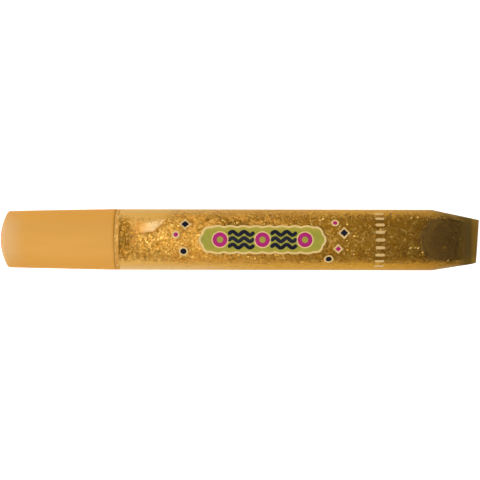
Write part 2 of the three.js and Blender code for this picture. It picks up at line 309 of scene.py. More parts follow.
class Look:
    """Node tree of one material, or of the sky, made node by node."""

    def __init__(self, owner, output, coordinates):
        owner.use_nodes = True
        self.owner = owner
        self.output = output
        self.tree = owner.node_tree
        self.tree.nodes.clear()
        self.place = self.node("TexCoord", output=coordinates)

    def feed(self, socket, value):
        """Links a reading to a socket, or sets the socket to a value."""
        if isinstance(value, Reading):
            self.tree.links.new(value.socket, socket)
        elif socket.type == "RGBA" and len(value) == 3:
            socket.default_value = (*value, 1)
        else:
            socket.default_value = value

    def node(self, kind, settings=None, sockets=None, output=0):
        """Adds a node: its settings first, then its sockets' values or links."""
        made = self.tree.nodes.new("ShaderNode" + kind)
        for name, value in (settings or {}).items():
            if name == "stops":
                self.set_stops(made.color_ramp, value)
            else:
                setattr(made, name, value)
        for name, value in (sockets or {}).items():
            self.feed(made.inputs[name], value)
        return Reading(self, made.outputs[output]) if made.outputs else None

    def set_stops(self, ramp, stops):
        """Gives a ramp its stops, each a place and a colour."""
        while len(ramp.elements) < len(stops):
            ramp.elements.new(1)
        for element, (place, tint) in zip(ramp.elements, stops):
            element.position = place
            element.color = (*tint, 1)

    def axis(self, name, vector=None):
        """One axis of a vector, or of the point's place."""
        return self.node("SeparateXYZ", sockets={0: vector or self.place}, output=name)

    def along(self):
        """How far along the tube's wall the point lies, from 0 at the front to 1 at the tail."""
        return (self.axis("X") - FRONT) / (TAIL_END - FRONT)

    def aside(self):
        """How far the point lies to either side of the tube's middle line."""
        return abs(self.axis("Y"))

    def noted(self, name):
        """What the mesh notes at the point under a name."""
        return self.node("Attribute", {"attribute_name": name}, output="Fac")

    def facing(self):
        """How edge on the surface is seen, from 0 to 1."""
        return self.node("LayerWeight", sockets={"Blend": 0.5}, output="Facing")

    def noise(self, scale, detail=2.0, place=None):
        """Soft noise between 0 and 1."""
        sockets = {"Vector": place or self.place, "Scale": scale, "Detail": detail}
        return self.node("TexNoise", sockets=sockets, output="Fac")

    def tone(self, stops, where):
        """Colour from a ramp."""
        return self.node("ValToRGB", {"stops": stops}, {0: where}, "Color")

    def mix(self, amount, first, second):
        """Colour between two colours."""
        return self.node("Mix", {"data_type": "RGBA"}, {0: amount, 6: first, 7: second}, 2)

    def coated(self, base, *coats):
        """Colour with coats over it, each an amount and a colour."""
        for amount, tint in coats:
            base = self.mix(amount, base, tint)
        return base

    def bump(self, height, distance, strength):
        """Normal of a surface with small heights on it."""
        return self.node("Bump", sockets={"Height": height, "Distance": distance, "Strength": strength})

    def glow(self, amount, tint, strength):
        """Sockets of a shader that gives off light of its own by an amount."""
        return {"Emission Color": self.mix(amount, BLACK, tint), "Emission Strength": strength}

    def plastic(self, base, roughness, gloss, more=None):
        """Shader with a colour, a roughness, a strength of gloss and any other sockets."""
        sockets = {"Base Color": base, "Roughness": roughness, "Specular IOR Level": gloss}
        return self.node("BsdfPrincipled", sockets={**sockets, **(more or {})})

    def clear(self):
        """Shader that lets all light through."""
        return self.node("BsdfTransparent", sockets={"Color": WHITE})

    def covered(self, amount, under, over):
        """Shader under another one that covers it by an amount."""
        return self.node("MixShader", sockets={0: amount, 1: under, 2: over})

    def show(self, surface, **more):
        """Sends a shader, and any Volume under it, to the output; gives back whose look it is."""
        self.node(self.output, sockets={"Surface": surface, **more})
        return self.owner


def material(name):
    """Look of a new material."""
    return Look(bpy.data.materials.new(name), "OutputMaterial", "Object")


def shaded(tint, strength):
    """Colour made darker or paler."""
    return tuple(min(1.0, strength * part) for part in tint)


# Cap: colours of the painted sheen on its domed end, of the painted light on its sides and of the painted
# shade at its lip
CAP_END_PAINTED_SHEEN = (0.65, 0.385, 0.165)
CAP_SIDE_PAINTED_LIGHT = (0.68, 0.312, 0.048)
CAP_LIP_PAINTED_SHADE = (0.46, 0.19, 0.016)


def cap_plastic(tint, lip_end):
    """Satin gold-yellow plastic with faint flow marks, a painted sheen on its domed end, painted light on
    its sides and painted shade at its lip.
    """
    look = material("cap_plastic")
    x = look.axis("X")
    depth = x - CAP_LOW.x
    drawn_out = look.node("VectorMath", {"operation": "MULTIPLY"}, {0: look.place, 1: (0.25, 1.0, 1.0)})
    flow = look.noise(180, 3, drawn_out)
    grain = look.noise(4200)
    side = look.aside().above(5 * MM, 2 * MM) * depth.above(2 * MM, 1.2 * MM)
    lip = x.above(lip_end - 0.4 * MM, 0.3 * MM)
    upper = look.axis("Y").above(1 * MM, 4 * MM)
    base = look.coated(
        look.mix(flow.above(0.5, 0.22), shaded(tint, 0.94), shaded(tint, 1.04)),
        # painted sheen: the domed end paler, fading out over its first 8 mm
        (1 - depth.above(4 * MM, 4 * MM), CAP_END_PAINTED_SHEEN),
        # painted light: the sides warmer and redder, to offset their shading
        (side * 0.7, CAP_SIDE_PAINTED_LIGHT),
        # painted shade: the lip darker where it meets the flange, more on the upper side
        (lip * (0.25 + upper * 0.5), CAP_LIP_PAINTED_SHADE),
    )
    grained = {"Normal": look.bump(grain, 0.008 * MM, 0.5)}
    return look.show(look.plastic(base, 0.55 + grain * 0.10, 0.02, grained))


# Nozzle: colours of the flange's painted glints, and of the gel and the flecks seen through the plug
FLANGE_GLINT = (0.72, 0.41, 0.11)
PLUG_FRONT = ((0.33, 0.18, 0.022), (0.80, 0.50, 0.14))
PLUG_BACK = ((0.49, 0.31, 0.065), (0.96, 0.66, 0.25))
PLUG_AIRY = (1.0, 0.68, 0.30)


def nozzle_plastic(tint, flange_tint, flange_start):
    """Natural translucent plastic, nearly clear where the gel wets the plug, with painted glints on the
    flange and a painted glow on its back face and in the plug.
    """
    look = material("nozzle_plastic")
    x = look.axis("X")
    cloud = look.noise(350, 3)
    milky = look.mix(cloud.above(0.5, 0.25), shaded(tint, 0.9), tint)
    # painted glints: pale gold specks on the flange
    amber = look.mix(look.noise(1100).above(0.6, 0.12), flange_tint, FLANGE_GLINT)
    fleck = look.noise(1500).above(0.55, 0.08)
    uneven = x + (look.noise(900) - 0.5) * (4 * MM)
    airy = x.above(FRONT + 3.3 * MM, 1.3 * MM) * look.axis("Y").above(2.5 * MM, 2 * MM)
    golden = look.coated(
        look.mix(fleck, *PLUG_FRONT),
        (uneven.above(FRONT + 2.7 * MM, 0.8 * MM), look.mix(fleck, *PLUG_BACK)),
        (airy * 0.7, PLUG_AIRY),
    )
    flange = x.above(flange_start, 0.1 * MM)
    back = x.above(FRONT - 0.06 * MM, 0.03 * MM)
    plug = x.above(FRONT + 0.15 * MM, 0.1 * MM)
    # painted light: the flange's back face and the plug glow in the gel's gold, lifting the shade that the
    # flange and the cap cast there
    haze = look.plastic(
        look.mix(flange, milky, look.mix(back, amber, golden)),
        0.3 + cloud * 0.1 + (flange - plug) * 0.5,
        0.05,
        look.glow(back, golden, 0.32),
    )
    facing = look.facing()
    inner = 1 - x.above(NOZZLE_HIGH.x - 0.35 * MM, 0.1 * MM)
    around_bore = facing.above(0.05, 0.03) * 0.45 + facing.above(0.24, 0.2) * 0.42
    cover = 0.7 + flange * 0.3 - plug * (0.94 - around_bore * inner)
    return look.show(look.covered(cover, look.clear(), haze))


# Wall: colours of its haze along the tube and of what varies in it, a painted sheen at its rims and painted
# shade on the upper side of the tail among them, and of the sides of the tail, lighter as painted light,
# and of its end
HAZE_STOPS = (
    (0.0, (0.67, 0.375, 0.088)),
    (0.4, (0.63, 0.325, 0.05)),
    (0.7, (0.60, 0.298, 0.034)),
    (0.85, (0.46, 0.215, 0.023)),
    (0.91, (0.29, 0.14, 0.015)),
    (1.0, (0.19, 0.108, 0.013)),
)
HAZE_DULL = (0.25, 0.11, 0.012)
HAZE_MOTTLE = (0.30, 0.145, 0.016)
HAZE_SPARK = (0.96, 0.56, 0.13)
HAZE_PAINTED_SHEEN = (1.0, 0.85, 0.6)
HAZE_SHADE = (0.13, 0.075, 0.01)
FOLD_SIDE_PAINTED_LIGHT = (0.17, 0.1, 0.014)
SEAL_SIDE_PAINTED_LIGHT = (0.25, 0.155, 0.02)
SEAL_SCORCH = (0.26, 0.13, 0.035)
WALL_SHEEN = (0.3, 0.3, 0.3)
WALL_AMBER = (0.86, 0.62, 0.05)
AMBER_DENSITY = 450.0
WALL_IOR = 1.12


def clear_wall(tube, slit):
    """Clear amber plastic, hazy where it is seen edge on, brown past the slit and olive at the seal, with a
    painted sheen at its rims, painted shade on the upper side of the tail and painted light on the tail's
    sides.
    """
    look = material("clear_wall")
    x = look.axis("X")
    along = look.along()
    upper = look.axis("Y").above(0.0, 3 * MM)
    lower = 1 - upper
    wet = x.above(tube.dry_end, 3 * MM)
    facing = look.facing()
    cloud = look.noise(500, 3)
    mottle = look.noise(1300)
    spark = look.noise(1900).above(0.62, 0.06)
    dull = wet * upper * (1 - along.above(0.56, 0.12))
    rim = facing.above(0.5, 0.16) * (1 - along.above(0.28, 0.12))
    warm = look.coated(
        look.tone(HAZE_STOPS, along),
        (dull * 0.3, HAZE_DULL),
        (mottle.above(0.58, 0.09) * wet * (0.7 - lower * 0.35), HAZE_MOTTLE),
        (spark * wet * (0.5 - lower * 0.3), HAZE_SPARK),
        # painted sheen: paler where the wall is seen edge on, and more at the rims of its front part, most
        # on the lower side
        (facing.above(0.62, 0.14) * 0.07, HAZE_PAINTED_SHEEN),
        (rim * (0.05 + lower * 0.1), HAZE_PAINTED_SHEEN),
        # painted shade: the upper side of the tail darker ahead of the seal
        (along.above(0.885, 0.025) * upper * 0.62, HAZE_SHADE),
    )
    # painted light: the sides of the folded and the sealed tail lighter
    side = look.aside().above(4.2 * MM, 1 * MM)
    brown = look.mix(cloud, shaded(tube.fold_tint, 0.9), tube.fold_tint)
    olive = look.coated(
        look.mix(cloud, tube.tint, shaded(tube.tint, 1.25)),
        (side * 0.6, SEAL_SIDE_PAINTED_LIGHT),
        (x.above(TAIL_END - 0.5 * MM, 0.3 * MM) * 0.8, SEAL_SCORCH),
    )
    folded = x.above(slit - 1.5 * MM, 1.5 * MM)
    sealed = x.above(TAIL_END - 1.8 * MM, 0.7 * MM)
    base = look.coated(warm, (folded, look.mix(side * 0.5, brown, FOLD_SIDE_PAINTED_LIGHT)), (sealed, olive))
    haze = look.plastic(base, 0.45 + cloud * 0.15, 0.0)
    airy = upper * x.above(FRONT + 4.4 * MM, 0.8 * MM)
    over_air = (1 - wet) * (0.20 + lower * 0.05 + airy * 0.08)
    over_gel = wet * (0.08 + lower * 0.09)
    uneven = (mottle - 0.5) * (0.45 + wet * upper * 0.5)
    edge = (facing + over_air + over_gel + uneven).above(0.50, 0.13) * 0.92
    outside = look.noted("outside")
    hazy = outside * edge.larger(folded * 0.94).larger(look.noted("corner") * 0.88)
    glassy = {"IOR": WALL_IOR, "Specular Tint": WALL_SHEEN, "Transmission Weight": 1.0}
    dry = look.covered(hazy, look.plastic(WHITE, 0.03, 0.5, glassy), haze)
    wall = look.covered((1 - outside) * wet, dry, look.clear())
    amber = look.node("VolumeAbsorption", sockets={"Color": WALL_AMBER, "Density": AMBER_DENSITY})
    return look.show(wall, Volume=amber)


# Gel: its colours along the tube, at its sides as painted light, in its glitter, in the pressed tail,
# partly as painted shade, and at the air pocket, partly as a painted highlight
GEL_STOPS = (
    (0.0, (0.30, 0.19, 0.018)),
    (0.024, (0.31, 0.195, 0.018)),
    (0.036, (0.59, 0.39, 0.085)),
    (0.053, (0.57, 0.37, 0.082)),
    (0.075, (0.54, 0.345, 0.08)),
    (0.11, (0.68, 0.43, 0.105)),
    (0.2, (0.82, 0.51, 0.12)),
    (0.5, (0.44, 0.255, 0.036)),
    (0.85, (0.14, 0.079, 0.008)),
    (1.0, (0.14, 0.078, 0.008)),
)
GEL_SIDE_PAINTED_LIGHT = (0.50, 0.29, 0.035)
GEL_DARK = (0.22, 0.12, 0.01)
GEL_BRIGHT = (1.0, 0.80, 0.34)
PATCH_DARK = (0.2, 0.11, 0.01)
PATCH_BRIGHT = (1.0, 0.66, 0.25)
GEL_PRESSED_AND_SHADE = (0.143, 0.098, 0.037)
POCKET_HALO = (1.0, 0.62, 0.2)
POCKET_NEAR = (0.88, 0.58, 0.20)
POCKET_FAR_FILM_AND_HIGHLIGHT = (1.0, 0.84, 0.60)


def gel_tone(look, along):
    """Tone of the gel by its place along the tube, with painted light that makes it lighter towards the
    sides of its darker half.
    """
    # painted light: lighter towards the sides, where light shines through the thin edge of the gel
    side = look.aside().above(4.2 * MM, 2.2 * MM) * along.above(0.55, 0.12)
    return look.mix(side * 0.36, look.tone(GEL_STOPS, along), GEL_SIDE_PAINTED_LIGHT)


def gel_gold():
    """Glitter deep in the gel: pale near the nozzle, dark in the pressed tail with painted shade from a
    little ahead of the flats, milky in the air pocket with a painted highlight towards its far side, and
    with a painted glow all over, strongest in the shade behind the flange.
    """
    look = material("gel_gold")
    x = look.axis("X")
    along = look.along()
    clumps = look.noise(650)
    patch = look.noise(420)
    cells = look.node("TexVoronoi", sockets={"Vector": look.place, "Scale": 2000.0}, output="Color")
    lot = look.axis("X", cells)
    bright = lot.above(0.72, 0.06) * clumps.above(0.42, 0.15)
    dark = (1 - lot.above(0.36, 0.08)) * (1 - clumps.above(0.6, 0.15))
    thin = look.axis("Y").above(1 * MM, 3 * MM) * along.above(0.2, 0.06) * (1 - along.above(0.42, 0.1))
    pressed = look.noted("pressed") + (clumps - 0.5) * 0.3
    milky = look.noted("pocket") * (0.55 + clumps * 0.9)
    # painted highlight: the pocket's milky film paler towards its far side, where the lamp falls into it
    airy = look.mix(x.above(FRONT + 6.2 * MM, 2.2 * MM), POCKET_NEAR, POCKET_FAR_FILM_AND_HIGHLIGHT)
    gold = gel_tone(look, along + (clumps - 0.5) * 0.04)
    base = look.coated(
        gold,
        (dark * (0.58 - along * 0.5), look.mix(0.7, gold, GEL_DARK)),
        (bright * 0.6 * (1 - along * 0.9), GEL_BRIGHT),
        (thin * patch.above(0.5, 0.1) * 0.8, PATCH_DARK),
        (thin * (1 - patch.above(0.42, 0.06)) * 0.6, PATCH_BRIGHT),
        # the pressed gel's own darkness, with painted shade from a little ahead of the flats
        (pressed.above(0.26, 0.24) * 0.95, GEL_PRESSED_AND_SHADE),
        (look.noted("halo") * 0.75, POCKET_HALO),
        (milky.above(0.5, 0.45), airy),
    )
    # painted light: the gel glows a little all over, more in the air pocket and most in the shade behind
    # the flange
    in_shade = 1 - x.above(FRONT + 0.8 * MM, 0.9 * MM)
    lit = look.glow(0.2 + milky * 0.25 + in_shade * 0.8, base, 0.5)
    grained = {"Normal": look.bump(lot, 0.05 * MM, 0.3)}
    return look.show(look.plastic(base, 0.35 + lot * 0.25, 0.05, {**lit, **grained}))


# Flakes: colours of their film from lot to lot, of its painted glint and of its sheen
FLAKE_STOPS = (
    (0.0, (0.42, 0.22, 0.028)),
    (0.3, (0.85, 0.50, 0.10)),
    (0.7, (1.0, 0.70, 0.22)),
    (1.0, (1.0, 0.84, 0.36)),
)
FLAKE_GLINT = (1.0, 0.78, 0.3)
FLAKE_SHEEN = (1.0, 0.8, 0.5)


def flake_gold():
    """Metallised film, from bronze to pale gold by the flake's own lot, the last lots glowing as painted
    glints.
    """
    look = material("flake_gold")
    along = look.along()
    lot = look.noted("lot")
    rare = lot.above(0.975, 0.02)
    sunk = along.above(0.42, 0.3) * 0.86 * (1 - rare)
    base = look.mix(sunk, look.tone(FLAKE_STOPS, lot), gel_tone(look, along))
    # painted glints: the last lots glow, less towards the tail, the rarest ones all along
    glint = (lot.above(0.9, 0.04) * (1 - along * 0.85)).larger(rare)
    metallic = {"Metallic": 0.3, "Specular Tint": FLAKE_SHEEN}
    lit = look.glow(glint, FLAKE_GLINT, 0.4)
    return look.show(look.plastic(base, 0.35 + lot * 0.1, 0.1, {**metallic, **lit}))


def printed_ink(name, tint, margin):
    """Ink with a faint mottle, which runs into a second colour towards the panel's margin."""
    look = material(name)
    mottle = look.noise(900, 3)
    base = look.mix(mottle.above(0.5, 0.2), shaded(tint, 0.86), tint)
    base = look.mix(look.aside().above(2.2 * MM, 0.7 * MM) * 0.6, base, margin)
    return look.show(look.plastic(base, 0.36 + mottle * 0.12, 0.1))


def floor_white():
    """Pale studio floor that glows a little, so that no dark ground shows."""
    look = material("floor_white")
    base = look.mix(look.noise(60), (0.90, 0.90, 0.90), (0.92, 0.92, 0.92))
    return look.show(look.plastic(base, 0.7, 0.5, {"Emission Color": WHITE, "Emission Strength": 0.7}))


def clamped(value):
    """Value held between 0 and 1."""
    return min(max(value, 0), 1)


def soft_min(size, limit, soft):
    """Smaller of two sizes, with a soft bend where they meet."""
    near = max(soft - abs(size - limit), 0) / soft
    return min(size, limit) - near * near * soft / 4


def between(place, start, end, start_size, end_size):
    """Size that changes evenly between two places."""
    return start_size + (end_size - start_size) * (place - start) / (end - start)


def inward(point):
    """Direction from a point straight to the tube's axis."""
    return Vector((0, -point.y, AXIS_HEIGHT - point.z)).normalized()


def ring(x, radius, height=None, fold=MM, middle=0.0):
    """Ring of points round the axis or beside it, pressed flat above and below to a height."""
    points = []
    for step in range(SEGMENTS):
        turn = 2 * math.pi * step / SEGMENTS
        across = radius * math.cos(turn)
        up = radius * math.sin(turn)
        if height is not None:
            up = math.copysign(soft_min(abs(up), height, fold), up)
        points.append(Vector((x, middle + across, AXIS_HEIGHT + up)))
    return points


def pole(x):
    """Single point on the axis that closes an end."""
    return [Vector((x, 0, AXIS_HEIGHT))]


def skin(bm, rows, loop=False):
    """Faces over rows of points; a row of one point closes an end, and a loop joins the two ends."""
    made = [[bm.verts.new(point) for point in row] for row in rows]
    pairs = list(zip(made, made[1:]))
    if loop:
        pairs.append((made[-1], made[0]))
    for first, second in pairs:
        sides = max(len(first), len(second))
        for step in range(sides):
            following = (step + 1) % sides
            corners = [first[step % len(first)], first[following % len(first)]]
            corners += [second[following % len(second)], second[step % len(second)]]
            bm.faces.new(list(dict.fromkeys(corners)))
    bm.verts.index_update()


def piece(name, bm, look, body, slot, *nodes):
    """Smooth object with crisp edges from a finished mesh, with its body and replaced nodes; its slot is
    not used.
    """
    bmesh.ops.recalc_face_normals(bm, faces=bm.faces)
    if bm.calc_volume(signed=True) < 0:
        bmesh.ops.reverse_faces(bm, faces=bm.faces)
    mesh = bpy.data.meshes.new(name)
    bm.to_mesh(mesh)
    bm.free()
    mesh.shade_smooth()
    mesh.set_sharp_from_angle(angle=SHARP)
    mesh.materials.append(look)
    made = bpy.data.objects.new(name, mesh)
    bpy.context.collection.objects.link(made)
    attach(made, body)
    if nodes:
        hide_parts(*nodes)


def rounded(corners, loop=False):
    """Outline of (x, radius) points from corners of (x, radius, rounding), with long stretches divided."""
    bends = []
    for index, (x, radius, rounding) in enumerate(corners):
        here = Vector((x, radius))
        if not rounding:
            bends.append(here)
            continue
        before = Vector(corners[index - 1][:2])
        after = Vector(corners[(index + 1) % len(corners)][:2])
        start = here + (before - here).normalized() * rounding
        end = here + (after - here).normalized() * rounding
        for step in range(ROUND_STEPS + 1):
            part = step / ROUND_STEPS
            bends.append(start.lerp(here, part).lerp(here.lerp(end, part), part))
    outline = []
    following = bends[1:] + bends[:1] if loop else bends[1:]
    for here, after in zip(bends, following):
        stretches = max(1, math.ceil((after - here).length / PITCH))
        outline += [here.lerp(after, step / stretches) for step in range(stretches)]
    if not loop:
        outline.append(bends[-1])
    return outline


def turned(outline):
    """Rows of points turned from an outline; a point on the axis becomes a pole."""
    return [ring(x, radius) if radius > 0 else pole(x) for x, radius in outline]


def arc(centre, radius, start, end, steps):
    """Outline points on a circle about a point of the axis, by the radius they reach."""
    points = []
    for step in range(steps + 1):
        reach = start + (end - start) * step / steps
        points.append((centre - math.sqrt(radius**2 - reach**2), reach))
    return points


def polygon(corners, radius):
    """Outline with even corners on a circle."""
    turns = [2 * math.pi * step / corners for step in range(corners)]
    return [(radius * math.cos(turn), radius * math.sin(turn)) for turn in turns]


class Tail:
    """Shape of the pressed tail at any inset from the wall's outside."""

    def __init__(self, settings):
        self.settings = settings
        self.radius = TUBE_RADIUS - settings.ink_room
        self.start = TAIL_END - settings.tail
        self.flat_start = self.start - settings.flat_lead
        self.seal_start = TAIL_END - settings.seal
        self.slope = (self.radius - settings.seal_height / 2) / (self.seal_start - self.flat_start)
        self.stretch = math.hypot(1, self.slope)

    def reach(self, x, inset):
        """Radius of the tube at x."""
        outside = self.radius
        if x > self.start:
            outside = between(x, self.start, TAIL_END, self.radius, self.settings.tail_width / 2)
        return outside - inset

    def height(self, x, inset):
        """Height of the flats over the axis at x."""
        level = self.radius - self.slope * (min(x, self.seal_start) - self.flat_start)
        return level - inset * self.stretch

    def middle(self, x):
        """How far the tail lies to one side at x."""
        return -self.settings.drift * max(x - self.start, 0) / self.settings.tail

    def slit(self, inset):
        """Where a hollow with this inset closes."""
        return self.flat_start + (self.radius - inset * self.stretch - self.settings.slit / 2) / self.slope

    def ring(self, x, inset):
        """Ring of points at x."""
        reach = self.reach(x, inset)
        height = self.height(x, inset)
        if height > reach + self.settings.fold:
            return ring(x, reach)
        return ring(x, reach, height, self.settings.fold, self.middle(x))

    def stations(self, first, last, pitch):
        """Places along the tube, closer together from just ahead of the flats on."""
        bend = self.flat_start - MM
        straight = max(1, math.ceil((bend - first) / pitch))
        pressed = math.ceil((last - bend) / TAIL_PITCH)
        places = [first + (bend - first) * step / straight for step in range(straight)]
        return places + [bend + (last - bend) * step / pressed for step in range(pressed + 1)]

    def trimmed(self, points):
        """Ring moved to the slanting trim cut, in proportion to how far it lies along the seal."""
        moved = []
        for point in points:
            along = (point.x - self.seal_start) / self.settings.seal
            short = 0.5 - point.y / self.settings.tail_width
            moved.append(point - Vector((self.settings.trim_skew * short * max(along, 0), 0, 0)))
        return moved


CORNER_SOFT = 0.5 * MM  # how softly the solid corners of the tail begin


class TubeShell(bpy.types.Operator):
    """Make the clear wall with its pressed and sealed tail"""

    bl_idname = "glue_tube.tube_shell"
    bl_label = "Tube shell"

    def execute(self, context):
        settings = context.scene.glue_tube.tube
        gel = context.scene.glue_tube.gel
        tail = Tail(settings)
        inside = self.inside(tail, settings)
        bm = bmesh.new()
        skin(bm, inside + self.outside(tail, settings))
        self.note_places(bm, tail, settings, sum(len(row) for row in inside))
        look = clear_wall(settings, tail.slit(settings.wall + gel.gap + gel.clear_depth))
        piece("tube_wall", bm, look, "tube", "tube_clear", "tube_shell")
        return {"FINISHED"}

    def inside(self, tail, settings):
        """Rows from where the hollow closes to the front edge."""
        edge = settings.edge_round
        slit = tail.slit(settings.wall)
        hollow = [tail.ring(x, settings.wall) for x in tail.stations(FRONT + edge, slit, PITCH)]
        rows = [pole(slit), *reversed(hollow)]
        for turn in QUARTER[1:]:
            radius = tail.radius - settings.wall + edge * (1 - math.cos(turn))
            rows.append(ring(FRONT + edge * (1 - math.sin(turn)), radius))
        return rows

    def outside(self, tail, settings):
        """Rows from the front edge to the middle of the trimmed end."""
        edge = settings.edge_round
        rows = []
        for turn in QUARTER[:-1]:
            radius = tail.radius - edge * (1 - math.sin(turn))
            rows.append(ring(FRONT + edge * (1 - math.cos(turn)), radius))
        for x in tail.stations(FRONT + edge, TAIL_END - edge, PITCH):
            rows.append(tail.trimmed(tail.ring(x, 0)))
        for turn in QUARTER[1:]:
            x = TAIL_END - edge * (1 - math.sin(turn))
            inset = edge * (1 - math.cos(turn))
            height = settings.seal_height / 2 - inset
            points = ring(x, tail.reach(x, inset), height, settings.fold, tail.middle(x))
            rows.append(tail.trimmed(points))
        rows.append([sum(rows[-1], Vector()) / SEGMENTS])
        return rows

    def note_places(self, bm, tail, settings, hollow):
        """Notes on each point if it is outside, and how far it lies in a solid corner of the tail."""
        outside = bm.verts.layers.float.new("outside")
        corner = bm.verts.layers.float.new("corner")
        for vert in bm.verts:
            vert[outside] = 1.0 if vert.index >= hollow else 0.0
            side = abs(vert.co.y) - tail.reach(vert.co.x, settings.wall * 2)
            along = (vert.co.x - tail.start) / (settings.tail / 2)
            vert[corner] = clamped(side / CORNER_SOFT) * clamped(along)


FLANGE_GAP = 0.02 * MM  # from the flange to the wall's front edge
RING_PLACES = (1 / 3, 2 / 3)  # where the sealing rings lie along the plug


def plug_reach(tube, nozzle):
    """Radius of the plug over its sealing rings."""
    return TUBE_RADIUS - tube.wall - tube.ink_room - nozzle.plug_clearance


class Nozzle(bpy.types.Operator):
    """Make the nozzle with its plug, flange, neck and spout"""

    bl_idname = "glue_tube.nozzle"
    bl_label = "Nozzle"

    def execute(self, context):
        settings = context.scene.glue_tube.nozzle
        tube = context.scene.glue_tube.tube
        bm = bmesh.new()
        outline = rounded(self.corners(settings, tube), loop=True)
        skin(bm, turned(outline), loop=True)
        flange_start = FRONT - settings.flange - settings.flange_lead
        look = nozzle_plastic(settings.tint, settings.flange_tint, flange_start)
        piece("nozzle_body", bm, look, "tube", "nozzle_plastic", "nozzle")
        return {"FINISHED"}

    def corners(self, settings, tube):
        """Corners from the orifice over the outside to the plug, and back through the bore."""
        tip = NOZZLE_LOW.x
        plug_end = NOZZLE_HIGH.x
        neck_start = FRONT - settings.flange
        neck_end = neck_start - settings.neck
        shoulder_end = neck_end - settings.shoulder
        bead = neck_start - settings.bead_station
        neck = settings.neck_radius
        flange = TUBE_RADIUS - tube.ink_room - settings.flange_inset
        flange_back = FRONT - FLANGE_GAP
        plug = plug_reach(tube, settings)
        plug_base = plug - settings.ring_height
        plug_bore = plug_base - settings.plug_wall
        neck_bore = neck - settings.neck_wall
        corners = [
            (tip, settings.orifice, 0),
            (tip, settings.spout_tip, 0.2 * MM),
            (shoulder_end, settings.spout_base, 0.6 * MM),
            (neck_end, neck, 0.3 * MM),
            (bead - settings.bead_width / 2, neck, 0),
            (bead, neck + settings.bead_height, 0.5 * MM),
            (bead + settings.bead_width / 2, neck, 0),
            (neck_start - settings.flange_lead, neck, 0.1 * MM),
            (neck_start - settings.flange_lead, flange, 0.05 * MM),
            (flange_back, flange, 0.04 * MM),
            (flange_back, plug_base, 0),
        ]
        for place in RING_PLACES:
            centre = FRONT + (plug_end - FRONT) * place
            corners.append((centre - settings.ring_width / 2, plug_base, 0))
            corners.append((centre, plug, 0.3 * MM))
            corners.append((centre + settings.ring_width / 2, plug_base, 0))
        corners += [
            (plug_end, plug_base, 0.2 * MM),
            (plug_end, plug_bore, 0.2 * MM),
            (FRONT, plug_bore, 0),
            (FRONT, neck_bore, 0.2 * MM),
            (neck_end + settings.neck_wall, neck_bore, 0.5 * MM),
            (shoulder_end + settings.neck_wall, settings.bore_base, 0.4 * MM),
        ]
        return corners


DOME_STEPS = 14  # stretches from the dome's top to its edge
CEILING_STEPS = 10  # stretches over the ceiling under it
LIP_DEPTH = 0.2 * MM  # from the mouth to the first ring of points inside
RIB_RAMP = 0.3 * MM  # stretch over which a rib rises at each of its ends
RIB_STEPS = 4  # stretches along a rib between its ramps
RIB_FLANK = 0.4  # share of a rib's width over which each of its sides rises
SLEEVE_PITCH = 6 * MM  # from ring to ring of points behind the ribs


def dome_radius(reach, rise):
    """Radius of a dome by the radius of its rim and its rise."""
    return (reach**2 + rise**2) / (2 * rise)


